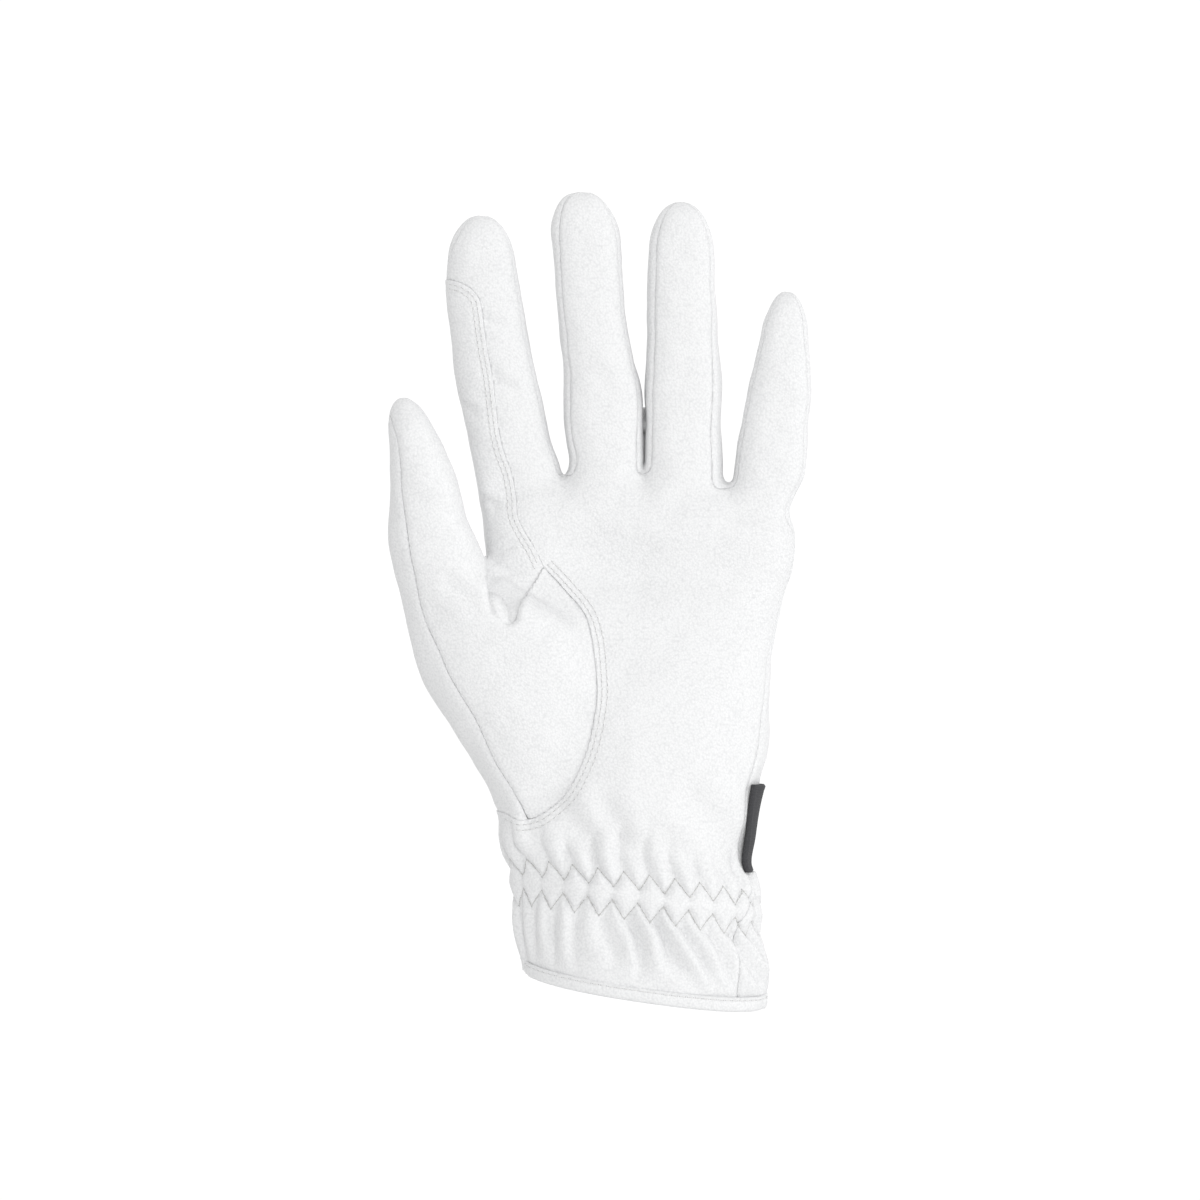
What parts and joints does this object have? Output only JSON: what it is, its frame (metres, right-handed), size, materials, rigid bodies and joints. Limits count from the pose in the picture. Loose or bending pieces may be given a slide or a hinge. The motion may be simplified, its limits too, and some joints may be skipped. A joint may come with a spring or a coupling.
{
  "type": "riding glove",
  "caption": "Left-hand leather riding glove with side strips between the fingers, a sewn-on forefinger patch, a set-in thumb, a gathered wrist, a bound hem and a wrist strap.",
  "frame": {"origin": "middle of the gathered wrist", "axes": "+Z from the wrist to the fingertips, -Y out of the palm, -X to the thumb"},
  "size_m": [0.122, 0.0549, 0.2369],
  "materials": {
    "white_leather": "matte white with a fine pebble grain",
    "binding_leather": "matte white, folded thin",
    "strap_webbing": "black close-woven tape"
  },
  "bodies": {
    "root": {"palm_panel": "white_leather", "back_panel": "white_leather", "index_patch": "white_leather", "thumb_front": "white_leather", "thumb_back": "white_leather", "fourchette_index_middle": "white_leather", "fourchette_middle_ring": "white_leather", "fourchette_ring_little": "white_leather", "cuff_binding": "binding_leather", "closure_strap": "strap_webbing"}
  },
  "joints": []
}
